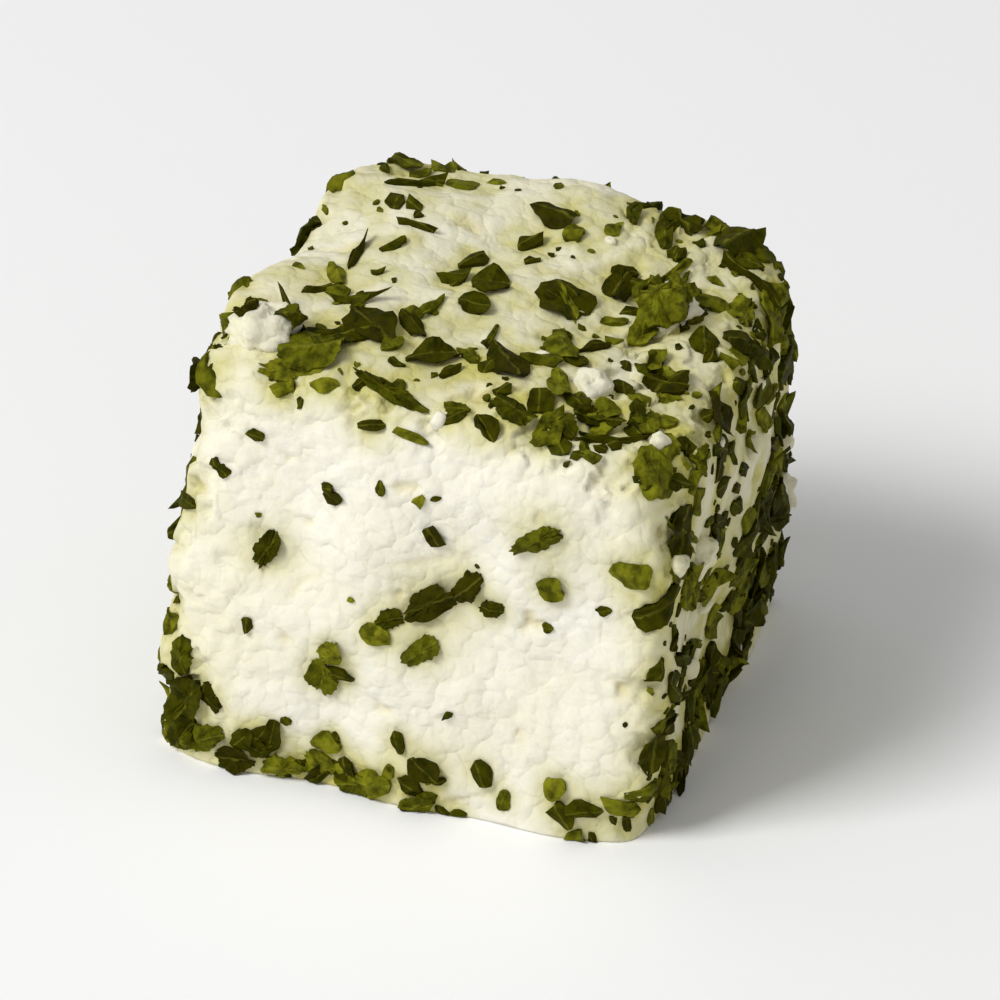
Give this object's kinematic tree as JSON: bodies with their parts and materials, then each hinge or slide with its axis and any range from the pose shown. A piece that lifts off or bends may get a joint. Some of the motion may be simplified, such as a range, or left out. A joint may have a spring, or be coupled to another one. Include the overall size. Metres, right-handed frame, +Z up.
{
  "type": "feta cube",
  "caption": "Hand-cut cube of crumbly white brined cheese, rolled in chopped green herbs, resting on one flat cut face.",
  "frame": {"origin": "middle of the flat underside that the cube rests on", "axes": "+Z up out of the table, the sparsely herbed front face towards -Y, the thickly herbed right face towards +X"},
  "size_m": [0.0222, 0.0215, 0.019],
  "materials": {
    "feta_cheese": "moist, matt and finely grained cut cheese",
    "chopped_herbs": "dark green dried leaf, softened and slightly glossy with brine"
  },
  "bodies": {
    "root": {"feta_cube": "feta_cheese"}
  },
  "joints": []
}
